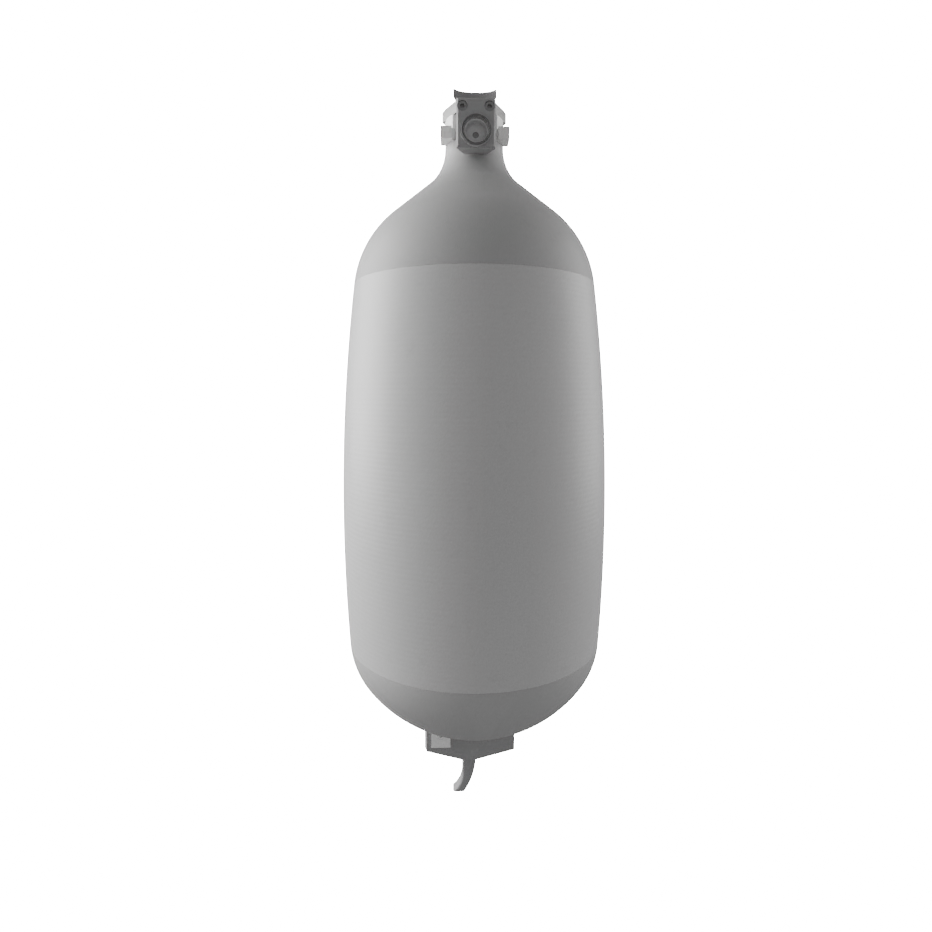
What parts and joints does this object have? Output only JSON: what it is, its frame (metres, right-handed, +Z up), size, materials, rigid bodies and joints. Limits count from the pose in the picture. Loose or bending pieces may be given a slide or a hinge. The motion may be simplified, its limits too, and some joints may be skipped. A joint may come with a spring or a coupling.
{
  "type": "scuba tank",
  "caption": "Hoop-wrapped scuba cylinder with an upright post valve, square handwheel, front threaded outlet and a hooked bracket under the rounded base.",
  "frame": {"origin": "on the cylinder axis at the middle of the wrapped barrel, where a tank band holds it", "axes": "+Z up along the cylinder axis towards the valve, -Y the way the outlet faces, +X to the right seen from the outlet side"},
  "size_m": [0.204, 0.204, 0.5511],
  "materials": {
    "gelcoat": "satin gelcoat over hoop-wound fibre",
    "shell_paint": "satin grey coating",
    "nickel": "satin nickel plate on brass",
    "black_valve": "black anodised, satin",
    "black_bracket": "black powder coat",
    "steel": "brushed stainless steel",
    "brass": "turned",
    "seal_rubber": "matt nitrile",
    "soft_plastic": "nylon"
  },
  "bodies": {
    "cylinder": {"cylinder_shell": "shell_paint", "composite_wrap": "gelcoat", "valve_body": "nickel", "neck_o_ring": "seal_rubber", "dip_tube": "brass", "bonnet_nut": "nickel", "bonnet_o_ring": "seal_rubber", "spindle_o_ring": "seal_rubber", "thrust_washer": "soft_plastic", "outlet_block": "black_valve", "outlet_o_ring": "seal_rubber", "port_o_ring": "seal_rubber", "drilling_screw": "steel", "block_screws": "steel", "burst_disc": "brass", "burst_gasket": "soft_plastic", "burst_plug": "nickel", "hook_bracket": "black_bracket", "bracket_pad": "seal_rubber", "bracket_screws": "steel", "retaining_clip": "steel", "clip_screw": "steel"},
    "wheel": {"handwheel": "black_valve", "valve_spindle": "steel", "cap_nut": "black_valve", "cap_washer": "steel", "handwheel_spring": "steel"},
    "plug": {"seat_plug": "brass", "seat_insert": "soft_plastic"}
  },
  "joints": [
    {"name": "handwheel_turn", "type": "hinge", "parent": "cylinder", "child": "wheel", "pos_m": [0, 0, 0.2688], "axis": [0, 0, 1], "range_deg": [0, 1080]},
    {"name": "seat_plug_lift", "type": "slide", "parent": "wheel", "child": "plug", "axis": [0, 0, 1], "range_m": [0, 0.00375]}
  ],
  "couplings": [
    {"joint": "seat_plug_lift", "follows": "handwheel_turn", "m_per_rad": 0.00019894}
  ]
}
